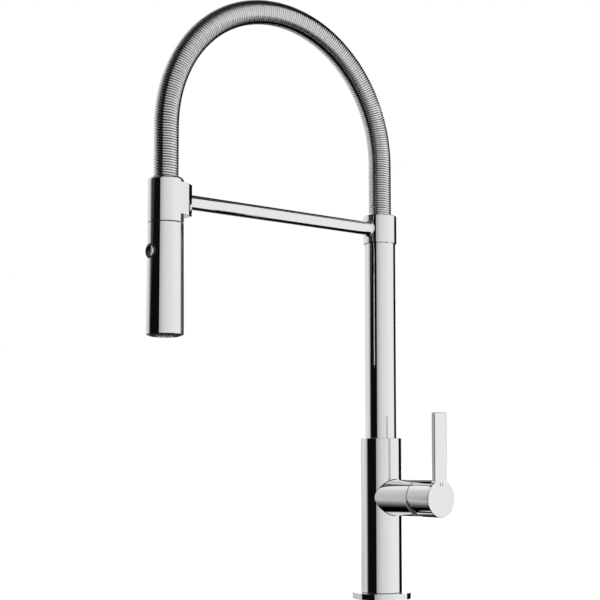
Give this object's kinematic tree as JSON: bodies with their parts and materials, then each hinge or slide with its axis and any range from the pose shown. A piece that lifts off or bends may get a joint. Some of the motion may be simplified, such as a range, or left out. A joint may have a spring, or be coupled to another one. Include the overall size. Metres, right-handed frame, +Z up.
{
  "type": "pull-out kitchen faucet",
  "caption": "Tall single-lever sink mixer with a swivelling spring-wrapped arch spout, a docking arm and a pull-out push-button spray head.",
  "frame": {"origin": "centre of the base flange's underside, where the tap hole's axis meets the worktop", "axes": "+Z up along the column, -Y along the spout towards the user, +X towards the lever"},
  "size_m": [0.1004, 0.2677, 0.5791],
  "materials": {
    "polished_chrome": "polished chrome plate over brass",
    "spring_chrome": "bright chromed spring wire",
    "brass": "machined brass",
    "steel": "stainless steel",
    "rubber": "black sealing rubber",
    "hose_cover": "dark braided hose with a smooth cover",
    "bearing_plastic": "white acetal",
    "valve_plastic": "grey moulded plastic",
    "ceramic": "polished alumina ceramic",
    "spray_face": "black moulded plastic",
    "mark_enamel": "dark grey enamel"
  },
  "bodies": {
    "base": {"base_flange": "polished_chrome", "base_seal": "rubber", "threaded_shank": "brass", "rubber_washer": "rubber", "steel_washer": "steel", "fixing_nut": "brass", "body_housing": "polished_chrome", "valve_core": "brass", "thrust_washer": "bearing_plastic", "lower_slide_ring": "bearing_plastic", "upper_slide_ring": "bearing_plastic", "swivel_screw": "steel", "cartridge_body": "valve_plastic", "port_seals": "rubber", "fixed_disc": "ceramic", "cartridge_nut": "polished_chrome"},
    "mixer": {"rotor": "valve_plastic", "moving_disc": "ceramic", "stem_pin": "steel"},
    "handle": {"lever_handle": "polished_chrome", "lever_stem": "steel", "lever_screw": "steel", "hot_mark": "mark_enamel", "cold_mark": "mark_enamel"},
    "spout": {"column_tube": "polished_chrome", "collar_arm": "polished_chrome", "collar_screw": "steel", "spring_coil": "spring_chrome", "inner_hose": "hose_cover", "hose_connector": "brass", "dock_housing": "polished_chrome", "arm_plate": "polished_chrome", "arm_screw": "steel", "dock_sleeve": "bearing_plastic"},
    "hose_end": {"hose_tail": "hose_cover", "hose_ferrule": "steel", "hose_nut": "brass", "inlet_seal": "rubber"},
    "spray": {"spray_shell": "polished_chrome", "spray_core": "valve_plastic", "docking_ring": "rubber", "check_valve": "valve_plastic", "inlet_strainer": "valve_plastic", "button_ring": "polished_chrome", "face_plate": "spray_face", "aerator": "spray_face", "aerator_seal": "rubber"},
    "button": {"spray_button": "polished_chrome", "diverter_spool": "valve_plastic", "spool_rings": "rubber", "button_spring": "steel"}
  },
  "joints": [
    {"name": "spout_swivel", "type": "hinge", "parent": "base", "child": "spout", "pos_m": [0, 0, 0.1057], "axis": [0, 0, 1], "continuous": true},
    {"name": "lever_temperature", "type": "hinge", "parent": "base", "child": "mixer", "pos_m": [0, 0, 0.0867], "axis": [1, 0, 0], "range_deg": [-45, 45]},
    {"name": "lever_flow", "type": "hinge", "parent": "mixer", "child": "handle", "pos_m": [0.0473, 0, 0.0867], "axis": [0, 1, 0], "range_deg": [0, 20]},
    {"name": "spray_pull_out", "type": "slide", "parent": "spout", "child": "hose_end", "axis": [0, 0, -1], "range_m": [0, 0.2], "stiffness_N_per_m": 2, "springref_m": -2, "deforming": ["hose_tail"]},
    {"name": "spray_turn", "type": "hinge", "parent": "hose_end", "child": "spray", "pos_m": [0, -0.2255, 0.3014], "axis": [0, 0, 1], "continuous": true},
    {"name": "button_press", "type": "slide", "parent": "spray", "child": "button", "axis": [0, 1, 0], "range_m": [0, 0.002], "stiffness_N_per_m": 1200, "springref_m": -0.001}
  ]
}
